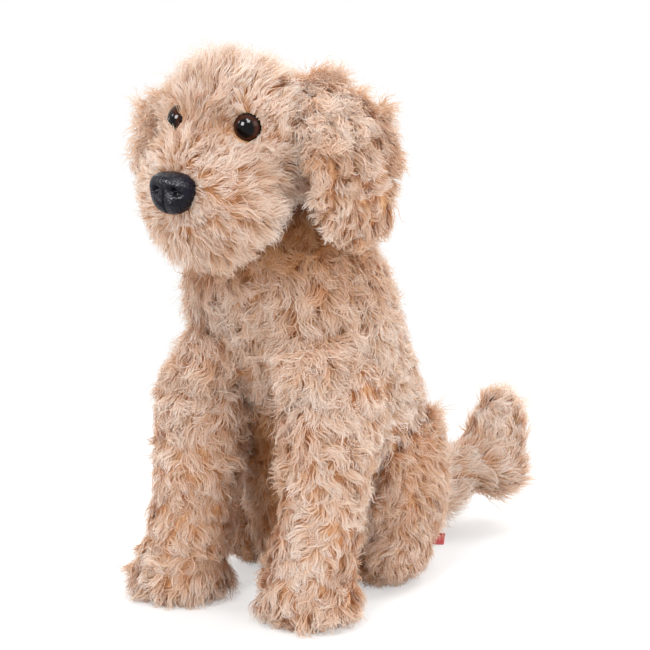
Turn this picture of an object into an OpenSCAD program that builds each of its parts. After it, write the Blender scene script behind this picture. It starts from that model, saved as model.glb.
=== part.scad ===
// Sitting plush dog with a curly pile: sewn covers, filling, safety eyes and a safety nose.
// Millimetres, +Z up. The dog looks along -Y and its left side is +X.
// The origin is on the floor, at the middle of the round seat panel.

/* [Body] */
// Height of the stuffed body, from the floor to the neck end
body_height = 184; // [152:1:222]
// Width of the body at the belly
belly_width = 90; // [76:1:108]
// Depth of the body at the belly, front to back
belly_depth = 92; // [78:1:110]
// Width of the body at the chest
chest_width = 98; // [82:1:112]
// Depth of the body at the chest, front to back
chest_depth = 86; // [74:1:102]
// How far the chest stands forward of the seat
chest_lean = 38; // [30:1:46]
// Diameter of the round panel that closes the seat
seat_diameter = 46; // [38:1:56]
// Diameter of the pellet bag that weights the seat
pellet_bag_diameter = 60; // [50:1:72]
// Height of the pellet bag
pellet_bag_height = 24; // [18:1:30]

/* [Head] */
// Width of the skull
head_width = 82; // [68:1:99]
// Length of the skull, front to back
head_length = 74; // [66:1:89]
// Height of the skull
head_height = 62; // [54:1:75]
// Width of the muzzle
muzzle_width = 68; // [58:1:76]
// Height of the muzzle
muzzle_height = 62; // [54:1:68]
// How far the muzzle stands out from the skull
muzzle_length = 22; // [18:1:30]
// How far the head looks to its right
head_turn = 7; // [0:1:15]
// Diameter of the ball of filling in the neck
neck_diameter = 66; // [55:1:74]

/* [Ears] */
// Length of an ear, from its seam to its tip
ear_length = 70; // [58:1:84]
// Width of an ear, front to back
ear_width = 58; // [48:1:66]
// Thickness of each of an ear's two layers
ear_layer = 5; // [3.5:0.5:6]

/* [Legs and tail] */
// Height of a front leg, from the floor to its top seam
front_leg_height = 126; // [106:1:140]
// Thickness of a front leg
front_leg_width = 44; // [36:1:48]
// Length of a front paw
paw_length = 52; // [44:1:62]
// Distance between the middles of the front legs
front_leg_spacing = 70; // [60:1:80]
// Height of a thigh
thigh_height = 92; // [78:1:108]
// Length of a thigh, front to back
thigh_length = 68; // [58:1:80]
// Thickness of a thigh
thigh_width = 34; // [28:1:40]
// Length of a hind foot
hind_foot_length = 46; // [40:1:56]
// Width of a hind foot
hind_foot_width = 34; // [28:1:40]
// Length of the tail, from its seam to its tip
tail_length = 82; // [68:1:98]
// Thickness of the tail
tail_width = 31; // [26:1:34]

/* [Eyes and nose] */
// Diameter of an eye
eye_diameter = 13; // [11:0.5:15.5]
// Distance between the eyes
eye_spacing = 40; // [36:1:48]
// Width of the nose
nose_width = 23; // [19:0.5:27]
// Height of the nose
nose_height = 19; // [16:0.5:23]
// Diameter of the stem behind an eye
eye_stem = 4.5; // [3.8:0.1:5.4]
// Diameter of the stem behind the nose
nose_stem = 6; // [5:0.1:7.2]
// Length of the stems inside the covers
stem_length = 13; // [11:0.5:15.5]

/* [Cloth] */
// Thickness of the plush cloth, with its pile pressed flat
cloth = 3; // [2.4:0.1:3.6]
// Gap between pieces that touch
seam_gap = 0.4; // [0.3:0.05:0.5]

/* [Hidden] */

// Colours
plush = "#d9b08c";
plush_inner = "#c99a72";
fibre = "#f2efe8";
cotton = "#d8d2c4";
black_plastic = "#151214";
brown_plastic = "#3b1f12";
white_plastic = "#e6e6e2";
red_ribbon = "#b3202a";

// Directions
left = [1, 0, 0];
back = [0, 1, 0];
up = [0, 0, 1];

// How far a standing form reaches below the floor before it is cut flat
sink = 0.5;
// Size of the block that cuts a form flat at the floor
floor_block = 600;

// Middle of the neck ball: forward of the chest and below the body's end
neck_forward = 6;
neck_drop = 16;
neck = [0, -chest_lean - neck_forward, body_height - neck_drop];
// Middle of the skull: forward of the neck, with the neck ball sunk in it
neck_sink = 9;
skull_forward = 15;
skull = neck + [0, -skull_forward, neck_diameter / 2 - neck_sink + head_height / 2];
face_y = skull.y - head_length / 2;
muzzle_tip = face_y - muzzle_length;

// Smooth curve through rows of numbers, at t from 0 to 1
function along(rows, t) =
  let (
    last = len(rows) - 1,
    i = max(min(floor(t * last), last - 1), 0),
    f = t * last - i,
    a = rows[max(i - 1, 0)],
    b = rows[i],
    c = rows[i + 1],
    d = rows[min(i + 2, last)]
  )
  b + f * (c - a) / 2 + f * f * (a - 2.5 * b + 2 * c - d / 2) + f * f * f * ((d - a) / 2 + 1.5 * (b - c));

// A form is [rows, bluntness of its ends, section axis u, section axis v, widening towards +v].
// A row is a section's middle and its two half sizes: [x, y, z, along u, along v].
function form_span(form) =
  let (first = form[0][0], last = form[0][len(form[0]) - 1])
  [last.x - first.x, last.y - first.y, last.z - first.z];

function form_length(form) = norm(form_span(form));

function rounding(form, t) = sqrt(max(1 - pow(abs(2 * t - 1), form[1]), 0));

// Point on a form that is drawn in by inset, at t along it and angle turn around it
function form_point(form, inset, t, turn) =
  let (
    ends = inset / form_length(form),
    place = ends + (1 - 2 * ends) * t,
    held = max(min(place, 1), 0),
    row = along(form[0], held),
    size = rounding(form, t),
    flare = 1 + form[4] * sin(turn)
  )
  [row.x, row.y, row.z] + (place - held) * form_span(form)
  + size * (row[3] - inset) * flare * cos(turn) * form[2]
  + size * (row[4] - inset) * sin(turn) * form[3];

// Inner walls and fillings have this share of an outer wall's rings and sides
inner_share = 0.7;

// Closed stuffed form: rings of sides points, close together at the ends, and a pole at each end
module stuffed(form, inset, outer_rings, outer_sides) {
  rings = inset > 0 ? ceil(outer_rings * inner_share) : outer_rings;
  sides = inset > 0 ? ceil(outer_sides * inner_share) : outer_sides;
  grid = [
    for (i = [1:rings - 1])
      for (j = [0:sides - 1])
        form_point(form, inset, (1 - cos(180 * i / rings)) / 2, 360 * j / sides)
  ];
  first = len(grid);
  last = first + 1;
  poles = [form_point(form, inset, 0, 0), form_point(form, inset, 1, 0)];
  rows = rings - 2;
  function corner(i, j) = i * sides + j % sides;
  start_fan = [for (j = [0:sides - 1]) [first, corner(0, j), corner(0, j + 1)]];
  end_fan = [for (j = [0:sides - 1]) [last, corner(rows, j + 1), corner(rows, j)]];
  lower = [
    for (i = [0:rows - 1]) for (j = [0:sides - 1]) [corner(i, j), corner(i + 1, j), corner(i, j + 1)]
  ];
  upper = [
    for (i = [0:rows - 1])
      for (j = [0:sides - 1]) [corner(i, j + 1), corner(i + 1, j), corner(i + 1, j + 1)]
  ];
  polyhedron(concat(grid, poles), concat(start_fan, lower, upper, end_fan));
}

// Where a form's surface lies in front of the point [x, z], found by halving t between lo and hi
function front_of(form, x, z, lo, hi, steps) =
  let (
    t = (lo + hi) / 2,
    row = along(form[0], t),
    size = max(rounding(form, t), 0.001),
    beyond = pow((x - row.x) / (row[3] * size), 2) + pow((z - row.z) / (row[4] * size), 2) > 1
  )
  steps == 0 ? row.y : front_of(form, x, z, beyond ? lo : t, beyond ? t : hi, steps - 1);

// Body: its foot starts below the floor, and its top flares out to the shoulders
torso_foot = -6;
seat_taper = 3;
rump_back = 4;
shoulder_width = 11;
shoulder_depth = 9;
function torso_level(i) = torso_foot + (body_height - torso_foot) * i / 5;
torso_form = [
  [
    [0, 0, torso_level(0), belly_width / 2 - seat_taper, belly_depth / 2 - seat_taper],
    [0, rump_back, torso_level(1), belly_width / 2, belly_depth / 2],
    [0, 0, torso_level(2), belly_width / 2, belly_depth / 2],
    [0, -chest_lean / 2, torso_level(3), (belly_width + chest_width) / 4, (belly_depth + chest_depth) / 4],
    [0, -chest_lean, torso_level(4), chest_width / 2, chest_depth / 2],
    [0, neck.y, torso_level(5), neck_diameter / 2 + shoulder_width, neck_diameter / 2 + shoulder_depth]
  ], 6, left, back, 0
];

// Skull, from the nape to the face: share of the length, rise, shares of the width and the height
skull_rows = [[0.5, -15, 0.42, 0.4], [0.17, -7, 0.5, 0.5], [-0.17, 0, 0.5, 0.5], [-0.5, 5, 0.45, 0.47]];
skull_form = [
  [
    for (r = skull_rows)
      [0, skull.y + r[0] * head_length, skull.z + r[1], r[2] * head_width, r[3] * head_height]
  ], 3.2, left, up, 0
];

// Muzzle, from its root in the skull to its tip, in the same four numbers
muzzle_root = skull.y - 4;
muzzle_rows = [[0, -12, 0.44, 0.36], [0.33, -20, 0.48, 0.44], [0.67, -27, 0.5, 0.5], [1, -25, 0.42, 0.42]];
muzzle_run = muzzle_tip - muzzle_root;
muzzle_form = [
  [
    for (r = muzzle_rows)
      [0, muzzle_root + r[0] * muzzle_run, skull.z + r[1], r[2] * muzzle_width, r[3] * muzzle_height]
  ], 3.2, left, up, 0
];

// Front leg, from the paw up: how far each section stands forward of the chest, and how far it swells
leg_x = front_leg_spacing / 2;
leg_forward = [46, 38, 28, 23, 18, 10];
leg_swell = [1, -1, -3, -1, 1, -8];
paw_taper = 5;
function leg_level(i) = (front_leg_height + sink) * i / 5 - sink;
function leg_depth(i) = i < 2 ? paw_length / 2 - i * paw_taper : front_leg_width / 2 + leg_swell[i] / 2;
front_leg_form = [
  [
    for (i = [0:5])
      [leg_x, -chest_lean - leg_forward[i], leg_level(i), front_leg_width / 2 + leg_swell[i], leg_depth(i)]
  ], 6, left, back, 0
];

// Thigh, from the body out: it is sunk in the body's side
thigh_bury = 11;
thigh_x = belly_width / 2 - thigh_bury;
thigh_y = 7;
thigh_z = thigh_height / 2 - sink;
thigh_droop = 2;
thigh_form = [
  [
    [thigh_x - thigh_width / 2, thigh_y, thigh_z, thigh_length * 0.42, thigh_height * 0.44],
    [thigh_x, thigh_y, thigh_z, thigh_length / 2, thigh_height / 2],
    [
      thigh_x + thigh_width / 2, thigh_y - thigh_droop, thigh_z - thigh_droop,
      thigh_length * 0.42, thigh_height * 0.42
    ]
  ], 2.6, back, up, 0
];

// Hind foot, from the heel to the toes, under the thigh
foot_height = 30;
foot_heel = 18;
foot_out = 4;
foot_x = thigh_x + foot_out;
foot_z = foot_height / 2 - sink;
heel_in = 3;
hind_foot_form = [
  [
    [foot_x - heel_in, foot_heel, foot_z, hind_foot_width * 0.46, foot_height / 2],
    [foot_x, foot_heel - hind_foot_length / 2, foot_z, hind_foot_width / 2, foot_height / 2],
    [foot_x, foot_heel - hind_foot_length, foot_z, hind_foot_width * 0.44, foot_height / 2]
  ], 3.5, left, up, 0
];

// Tail, from a ball in the rump: shares of the length to the left, back and up, and a share of the thickness
tail_ball = 13;
tail_behind = 7;
tail_root = [0, belly_depth / 2 + tail_behind, 34];
tail_rows = [[0, 0, 0, 0.38], [0.16, 0.34, -0.04, 0.46], [0.36, 0.65, 0.04, 0.54], [0.42, 0.72, 0.42, 0.46]];
tail_across = [0, 0.6, -0.8];
tail_form = [
  [
    for (r = tail_rows) [
      tail_root.x + r[0] * tail_length, tail_root.y + r[1] * tail_length, tail_root.z + r[2] * tail_length,
      r[3] * tail_width, r[3] * tail_width
    ]
  ], 4, left, tail_across, 0
];

// Ear, from the tip up: how far each section stands out from the seam, and its share of the width
ear_back = 3;
ear_y = skull.y + ear_back;
ear_top = skull.z + head_height * 0.36;
ear_root_x = head_width * 0.4;
ear_out = [17, 21, 16, 0];
ear_share = [0.4, 0.5, 0.48, 0.42];
function ear_level(i) = ear_top - ear_length * (3 - i) / 3;
// Layer of an ear: side is 1 for the outer layer and -1 for the lining
function ear_form(side) =
  let (shift = side * (ear_layer + seam_gap) / 2)
  [
    [
      for (i = [0:3])
        [ear_root_x + ear_out[i] + shift, ear_y, ear_level(i), ear_layer / 2, ear_share[i] * ear_width]
    ], 3.4, left, back, 0
  ];

// Sizes of the joints, holes and small pieces
mouth = 10;
tail_mouth = 5;
eye_rise = 5;
eye_splay = 22;
eye_sink = 2;
eye_bulge = 0.62;
nose_drop = 23;
nose_depth = 11;
nose_sink = 3;
washer_thickness = 1.6;
washer_rim = 5;
washer_play = 0.1;
washer_offset = 1.4;
tab_width = 11;
tab_length = 16;
tab_thickness = 1;
tab_out = 4;
tab_height = 13;
tab_place = [thigh_x + tab_out, thigh_y + thigh_length * 0.27, tab_height];
tab_heading = 33;
// Length of a cut that runs clear of the piece it cuts
clear_cut = 40;
// Overlap of a stem and the piece that it stands on
stem_root = 2;
// Place of the pellet bag behind the middle of the seat
bag_back = 4;

eye_z = skull.z + eye_rise;
eye_place = [eye_spacing / 2, front_of(skull_form, eye_spacing / 2, eye_z, 0.5, 1, 24), eye_z];
nose_place = [0, muzzle_tip + nose_sink, skull.z - nose_drop];
nose_form = [
  [
    [0, nose_place.y + 0.5, nose_place.z, nose_width * 0.47, nose_height * 0.47],
    [0, nose_place.y - nose_depth / 2, nose_place.z, nose_width / 2, nose_height / 2],
    [0, nose_place.y - nose_depth, nose_place.z + 1, nose_width * 0.44, nose_height * 0.42]
  ], 3, left, up, 0.16
];

module below_floor() {
  translate([-floor_block / 2, -floor_block / 2, -floor_block]) cube(floor_block);
}

module on_head() {
  translate(neck) rotate([0, 0, -head_turn]) translate(-neck) children();
}

module right_side() {
  mirror(left) children();
}

// Outer shapes, drawn in or let out by inset
module torso_bulk(inset) {
  stuffed(torso_form, inset, 16, 20);
}

module torso_shape(inset) {
  torso_bulk(inset);
  neck_ball(-inset);
}

module skull_shape(inset) {
  stuffed(skull_form, inset, 12, 20);
}

module muzzle_shape(inset) {
  stuffed(muzzle_form, inset, 10, 16);
}

module front_leg_shape(inset) {
  stuffed(front_leg_form, inset, 12, 14);
}

module thigh_shape(inset) {
  stuffed(thigh_form, inset, 8, 16);
}

module hind_foot_shape(inset) {
  stuffed(hind_foot_form, inset, 8, 12);
}

module tail_shape(inset) {
  stuffed(tail_form, inset, 12, 12);
}

module neck_ball(let_out) {
  translate(neck) sphere(neck_diameter / 2 + let_out);
}

module neck_mouth() {
  translate(neck) cylinder(h = neck_diameter, r = mouth);
}

module tail_dent(let_out) {
  translate(tail_root) rotate([90, 0, 0]) sphere(tail_ball + let_out);
}

// Round bag profile turned about its middle
module bag_shape(let_out) {
  half = [for (a = [-90:15:90]) [
    (pellet_bag_diameter / 2 + let_out) * cos(a),
    (pellet_bag_height / 2 + let_out) * sin(a)
  ]];
  translate([0, bag_back, cloth + seam_gap + pellet_bag_height / 2]) rotate_extrude() polygon(half);
}

module torso_cover() {
  color(plush) difference() {
    torso_shape(0);
    below_floor();
    tail_dent(seam_gap);
    difference() {
      torso_shape(cloth);
      tail_dent(seam_gap + cloth);
    }
    neck_mouth();
    translate([0, 0, -cloth]) cylinder(h = 4 * cloth, d = seat_diameter);
  }
}

module torso_stuffing() {
  color(fibre) difference() {
    torso_bulk(cloth + seam_gap);
    translate([0, 0, cloth + seam_gap]) below_floor();
    tail_dent(cloth + 2 * seam_gap);
    neck_ball(-cloth);
    bag_shape(seam_gap);
  }
}

module pellet_bag() {
  color(cotton) bag_shape(0);
}

module seat_panel() {
  color(plush) cylinder(h = cloth, d = seat_diameter - 2 * seam_gap);
}

module neck_stuffing() {
  color(fibre) neck_ball(-cloth - seam_gap);
}

// Places a piece on an eye's axis, with +Z pointing out of the face
module at_eye() {
  translate(eye_place) rotate([0, 0, eye_splay]) rotate([90, 0, 0]) children();
}

module eye_room(let_out) {
  translate([0, 0, -eye_sink - let_out]) cylinder(h = clear_cut, d = eye_diameter + 2 * seam_gap);
  translate([0, 0, -stem_length - eye_sink - let_out]) cylinder(h = stem_length, d = eye_stem + 2 * seam_gap);
}

module both_eyes() {
  at_eye() children();
  right_side() at_eye() children();
}

module washer_room() {
  depth = eye_sink + cloth + washer_offset - seam_gap;
  translate([0, 0, -stem_length - eye_sink - seam_gap])
    cylinder(h = stem_length - depth + eye_sink + seam_gap, d = eye_stem + 2 * washer_rim + 2 * seam_gap);
}

module head_cover() {
  color(plush) on_head() difference() {
    skull_shape(0);
    neck_ball(seam_gap);
    difference() {
      skull_shape(cloth);
      neck_ball(seam_gap + cloth);
    }
    neck_mouth();
    both_eyes() eye_room(0);
  }
}

module head_stuffing() {
  color(fibre) on_head() difference() {
    skull_shape(cloth + seam_gap);
    neck_ball(cloth + 2 * seam_gap);
    both_eyes() eye_room(seam_gap);
    both_eyes() washer_room();
  }
}

// Places a piece on the nose's axis, with +Z pointing out of the face
module at_nose() {
  translate(nose_place) rotate([90, 0, 0]) children();
}

module nose_shape(inset) {
  stuffed(nose_form, inset, 10, 20);
}

module nose_stem_room() {
  at_nose() translate([0, 0, -stem_length - seam_gap])
    cylinder(h = stem_length + stem_root, d = nose_stem + 2 * seam_gap);
}

module muzzle_cover() {
  color(plush) on_head() difference() {
    muzzle_shape(0);
    skull_shape(-seam_gap);
    neck_ball(2 * seam_gap);
    muzzle_shape(cloth);
    both_eyes() eye_room(0);
    nose_shape(-seam_gap);
    nose_stem_room();
  }
}

module muzzle_stuffing() {
  washer = nose_stem + 2 * washer_rim + 2 * seam_gap;
  color(fibre) on_head() difference() {
    muzzle_shape(cloth + seam_gap);
    skull_shape(-2 * seam_gap);
    neck_ball(3 * seam_gap);
    nose_shape(-cloth);
    nose_stem_room();
    at_nose() translate([0, 0, -stem_length - seam_gap]) cylinder(h = stem_length - seam_gap, d = washer);
  }
}

// Domed eye with a stem behind it
module eye() {
  rim = eye_diameter / 2;
  bulge = eye_bulge * rim;
  ball = (rim * rim + bulge * bulge) / (2 * bulge);
  color(brown_plastic) {
    intersection() {
      translate([0, 0, bulge - ball]) sphere(ball);
      cylinder(h = 2 * bulge, d = 2 * eye_diameter);
    }
    translate([0, 0, -eye_sink + seam_gap]) cylinder(h = eye_sink - seam_gap, d = eye_diameter);
    translate([0, 0, -stem_length]) cylinder(h = stem_length, d = eye_stem);
  }
}

// Flat ring that is pushed on a stem
module washer(stem) {
  color(white_plastic) difference() {
    cylinder(h = washer_thickness, d = stem + 2 * washer_rim);
    translate([0, 0, -washer_thickness]) cylinder(h = 3 * washer_thickness, d = stem + 2 * washer_play);
  }
}

module eye_left() {
  on_head() at_eye() eye();
}

module eye_right() {
  on_head() right_side() at_eye() eye();
}

module eye_washer_place() {
  translate([0, 0, -eye_sink - cloth - washer_offset - washer_thickness]) washer(eye_stem);
}

module eye_washer_left() {
  on_head() at_eye() eye_washer_place();
}

module eye_washer_right() {
  on_head() right_side() at_eye() eye_washer_place();
}

module nose() {
  color(black_plastic) on_head() {
    nose_shape(0);
    at_nose() translate([0, 0, -stem_length]) cylinder(h = stem_length + stem_root, d = nose_stem);
  }
}

module nose_washer() {
  on_head() at_nose() translate([0, 0, -cloth - washer_offset - washer_thickness]) washer(nose_stem);
}

module ear_layer_shape(side) {
  difference() {
    stuffed(ear_form(side), 0, 10, 14);
    skull_shape(-seam_gap);
  }
}

module ear_left_outer() {
  color(plush) on_head() ear_layer_shape(1);
}

module ear_left_lining() {
  color(plush_inner) on_head() ear_layer_shape(-1);
}

module ear_right_outer() {
  color(plush) on_head() right_side() ear_layer_shape(1);
}

module ear_right_lining() {
  color(plush_inner) on_head() right_side() ear_layer_shape(-1);
}

module front_leg_cover() {
  color(plush) difference() {
    front_leg_shape(0);
    below_floor();
    torso_shape(-seam_gap);
    front_leg_shape(cloth);
  }
}

module front_leg_stuffing() {
  color(fibre) difference() {
    front_leg_shape(cloth + seam_gap);
    torso_shape(-2 * seam_gap);
  }
}

module front_leg_left_cover() {
  front_leg_cover();
}

module front_leg_left_stuffing() {
  front_leg_stuffing();
}

module front_leg_right_cover() {
  right_side() front_leg_cover();
}

module front_leg_right_stuffing() {
  right_side() front_leg_stuffing();
}

module thigh_cover() {
  color(plush) difference() {
    thigh_shape(0);
    below_floor();
    torso_shape(-seam_gap);
    thigh_shape(cloth);
  }
}

module thigh_stuffing() {
  color(fibre) difference() {
    thigh_shape(cloth + seam_gap);
    torso_shape(-2 * seam_gap);
  }
}

module hind_foot_cover() {
  color(plush) difference() {
    hind_foot_shape(0);
    below_floor();
    torso_shape(-seam_gap);
    thigh_shape(-seam_gap);
    hind_foot_shape(cloth);
  }
}

module hind_foot_stuffing() {
  color(fibre) difference() {
    hind_foot_shape(cloth + seam_gap);
    torso_shape(-2 * seam_gap);
    thigh_shape(-2 * seam_gap);
  }
}

module thigh_left_cover() {
  thigh_cover();
}

module thigh_left_stuffing() {
  thigh_stuffing();
}

module thigh_right_cover() {
  right_side() thigh_cover();
}

module thigh_right_stuffing() {
  right_side() thigh_stuffing();
}

module hind_foot_left_cover() {
  hind_foot_cover();
}

module hind_foot_left_stuffing() {
  hind_foot_stuffing();
}

module hind_foot_right_cover() {
  right_side() hind_foot_cover();
}

module hind_foot_right_stuffing() {
  right_side() hind_foot_stuffing();
}

module tail_cover() {
  color(plush) difference() {
    union() {
      tail_shape(0);
      tail_dent(0);
    }
    tail_shape(cloth);
    translate(tail_root) rotate([90, 0, 0]) translate([0, 0, -2 * tail_mouth])
      cylinder(h = clear_cut, r = tail_mouth);
  }
}

module tail_stuffing() {
  color(fibre) tail_shape(cloth + seam_gap);
}

module label_tab() {
  color(red_ribbon) difference() {
    translate(tab_place) rotate([0, 0, tab_heading])
      translate([0, -tab_thickness / 2, -tab_width / 2]) cube([tab_length, tab_thickness, tab_width]);
    thigh_shape(-seam_gap);
    hind_foot_shape(-seam_gap);
  }
}

torso_cover();
torso_stuffing();
pellet_bag();
seat_panel();
neck_stuffing();
head_cover();
head_stuffing();
muzzle_cover();
muzzle_stuffing();
ear_left_outer();
ear_left_lining();
ear_right_outer();
ear_right_lining();
front_leg_left_cover();
front_leg_left_stuffing();
front_leg_right_cover();
front_leg_right_stuffing();
thigh_left_cover();
thigh_left_stuffing();
thigh_right_cover();
thigh_right_stuffing();
hind_foot_left_cover();
hind_foot_left_stuffing();
hind_foot_right_cover();
hind_foot_right_stuffing();
tail_cover();
tail_stuffing();
eye_left();
eye_right();
eye_washer_left();
eye_washer_right();
nose();
nose_washer();
label_tab();
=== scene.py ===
import bpy
import numpy as np
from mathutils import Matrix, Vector


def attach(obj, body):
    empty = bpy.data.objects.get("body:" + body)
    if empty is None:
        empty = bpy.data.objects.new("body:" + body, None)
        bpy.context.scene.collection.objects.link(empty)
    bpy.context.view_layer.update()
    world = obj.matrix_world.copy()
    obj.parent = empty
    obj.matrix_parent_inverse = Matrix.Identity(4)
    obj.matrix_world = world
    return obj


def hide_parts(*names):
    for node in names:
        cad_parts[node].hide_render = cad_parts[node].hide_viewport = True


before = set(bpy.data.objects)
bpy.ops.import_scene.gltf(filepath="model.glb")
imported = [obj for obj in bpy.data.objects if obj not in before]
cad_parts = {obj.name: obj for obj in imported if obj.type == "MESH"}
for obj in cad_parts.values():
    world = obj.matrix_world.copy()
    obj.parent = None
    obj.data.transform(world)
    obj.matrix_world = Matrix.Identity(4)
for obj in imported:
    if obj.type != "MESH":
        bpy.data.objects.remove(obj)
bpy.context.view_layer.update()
scene = bpy.context.scene
scene.view_settings.view_transform = "Standard"
print("frame loaded:", len(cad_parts), "nodes")

mm = 0.001
headTurn = np.radians(-7)  # the head looks a little to its right
neckSpot = np.array([0, -44, 168]) * mm


# Numbers and arrays

def unit(a):
    return a / np.maximum(np.linalg.norm(a, axis=-1, keepdims=True), 1e-9)


def across(a, b):  # dot product of each pair of rows
    return (a * b).sum(axis=-1, keepdims=True)


def ease(x, low, high):  # 0 below low, 1 above high, smooth between
    t = np.clip((x - low) / (high - low), 0, 1)
    return t * t * (3 - 2 * t)


def byHeight(p, low, high):  # ease over the height in millimetres
    return ease(p[:, 2], low * mm, high * mm)


def drift(points, size, seed):  # smooth noise of about -1 to 1: the mean of sines along seeded directions
    rng = np.random.default_rng(seed)
    waves = rng.normal(size=(3, 9)) / size
    return 2.4 * np.sin(points @ waves + rng.uniform(0, 6.28, 9)).mean(axis=1)


def turnAbout(points, angle, spot):  # points turned about the upright line through spot
    c, s = np.cos(angle), np.sin(angle)
    return (points - spot) @ np.array([[c, s, 0], [-s, c, 0], [0, 0, 1]]) + spot


def faceOn(points):  # points as if the head looked straight ahead
    return turnAbout(points, -headTurn, neckSpot)


def onHead(points):  # points of a head that looks straight ahead, turned with the head
    return turnAbout(np.asarray(points, float), headTurn, neckSpot)


def headWay(way):  # a direction, turned with the head
    return onHead(np.array(way) + neckSpot) - neckSpot


def read(collection, field, width, kind=np.float32):  # a field of a mesh, as rows
    out = np.zeros(len(collection) * width, kind)
    collection.foreach_get(field, out)
    return out.reshape(-1, width)


def linear(r, g, b):  # a colour as a screen shows it, in the numbers that a shader takes
    c = np.array([r, g, b]) / 255
    return (*np.where(c <= 0.04045, c / 12.92, ((c + 0.055) / 1.055) ** 2.4), 1)


# Camera, floor and light

view = {"place": (0.6393, -1.0364, 0.3745), "aim": (0.0194, -0.0383, 0.1296), "lens": 142.9}


def lookFrom(place, aim):  # the turn that points a camera or a lamp from place to aim
    return (Vector(aim) - Vector(place)).to_track_quat("-Z", "Y").to_euler()


def setCamera():
    data = bpy.data.cameras.new("camera")
    data.lens, data.sensor_width = view["lens"], 36
    data.clip_start, data.clip_end = 0.01, 50
    cam = bpy.data.objects.new("camera", data)
    cam.location = view["place"]
    cam.rotation_euler = lookFrom(view["place"], view["aim"])
    scene.collection.objects.link(cam)
    scene.camera = cam


def newNode(tree, kind, **settings):
    node = tree.nodes.new("ShaderNode" + kind)
    for name, value in settings.items():
        setattr(node, name, value)
    return node


def link(tree, a, b):
    tree.links.new(a, b)


def setSockets(node, values):  # constants on a node's own sockets
    for name, value in values.items():
        node.inputs[name].default_value = value


def larger(tree, a, b):
    node = newNode(tree, "Math", operation="MAXIMUM")
    link(tree, a, node.inputs[0])
    link(tree, b, node.inputs[1])
    return node.outputs[0]


def material(name):
    mat = bpy.data.materials.new(name)
    mat.use_nodes = True
    return mat, mat.node_tree, mat.node_tree.nodes["Principled BSDF"]


def ramp(tree, value, stops, smooth=True):  # colours by value, through stops of place and colour
    node = newNode(tree, "ValToRGB")
    node.color_ramp.interpolation = "EASE" if smooth else "LINEAR"
    spots = node.color_ramp.elements
    while len(spots) < len(stops):
        spots.new(0.5)
    for spot, (place, colour) in zip(spots, stops):
        spot.position, spot.color = place, colour
    link(tree, value, node.inputs["Fac"])
    return node.outputs["Color"]


def noise(tree, size, detail=3.0, rough=0.5, vector=None):  # soft patches of about this size
    node = newNode(tree, "TexNoise")
    setSockets(node, {"Scale": 1 / size, "Detail": detail, "Roughness": rough})
    if vector is None:
        vector = newNode(tree, "TexCoord").outputs["Object"]
    link(tree, vector, node.inputs["Vector"])
    return node.outputs["Fac"]


def bump(tree, shader, height, depth, strength=1.0):
    node = newNode(tree, "Bump")
    setSockets(node, {"Distance": depth, "Strength": strength})
    link(tree, height, node.inputs["Height"])
    link(tree, node.outputs["Normal"], shader.inputs["Normal"])


studio = {
    "sky": 0.70, "floor": 40.0, "fade": (0.16, 0.42), "floorWhite": 0.45, "floorTint": (0.93, 0.93, 0.93, 1),
    "lamps": [  # name, place, aim, size, watts
        ("key", (0.12, -1.35, 2.1), (0, -0.03, 0.13), 0.5, 22.8),
        ("fill", (1.8, -0.5, 1.1), (0, 0.03, 0.11), 1.2, 14),
        ("rim", (0.5, 1.3, 1.8), (0, 0, 0.13), 1.0, 22),
        ("side", (-1.6, -1.0, 1.0), (0, 0, 0.13), 0.4, 8),
        ("back", (-1.4, 1.3, 1.3), (0, 0, 0.13), 1.2, 12),
    ],
    "gleams": [  # these only show in glossy pieces
        ("gleamFront", (-0.63, -1.64, 0.89), (0.01, -0.1, 0.23), 0.65, 58),
        ("gleamTop", (0.53, -1.27, 1.49), (0.01, -0.1, 0.23), 0.6, 42),
    ],
}


def setStudio():
    world = bpy.data.worlds.new("studio")
    scene.world = world
    world.use_nodes = True
    tree = world.node_tree
    back = tree.nodes["Background"]
    path = newNode(tree, "LightPath")
    seen = larger(tree, path.outputs["Is Camera Ray"], path.outputs["Is Glossy Ray"])
    seen = larger(tree, seen, path.outputs["Is Transmission Ray"])
    level = newNode(tree, "MapRange")
    setSockets(level, {"To Min": studio["sky"], "To Max": 1.0})
    link(tree, seen, level.inputs["Value"])
    link(tree, level.outputs["Result"], back.inputs["Strength"])
    back.inputs["Color"].default_value = (1, 1, 1, 1)
    for name, place, aim, size, watts in studio["lamps"] + studio["gleams"]:
        lamp = bpy.data.lights.new(name, "AREA")
        lamp.size, lamp.energy = size, watts
        obj = bpy.data.objects.new(name, lamp)
        obj.location = place
        obj.rotation_euler = lookFrom(place, aim)
        obj.visible_diffuse = not name.startswith("gleam")
        obj.visible_camera = False
        scene.collection.objects.link(obj)


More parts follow.
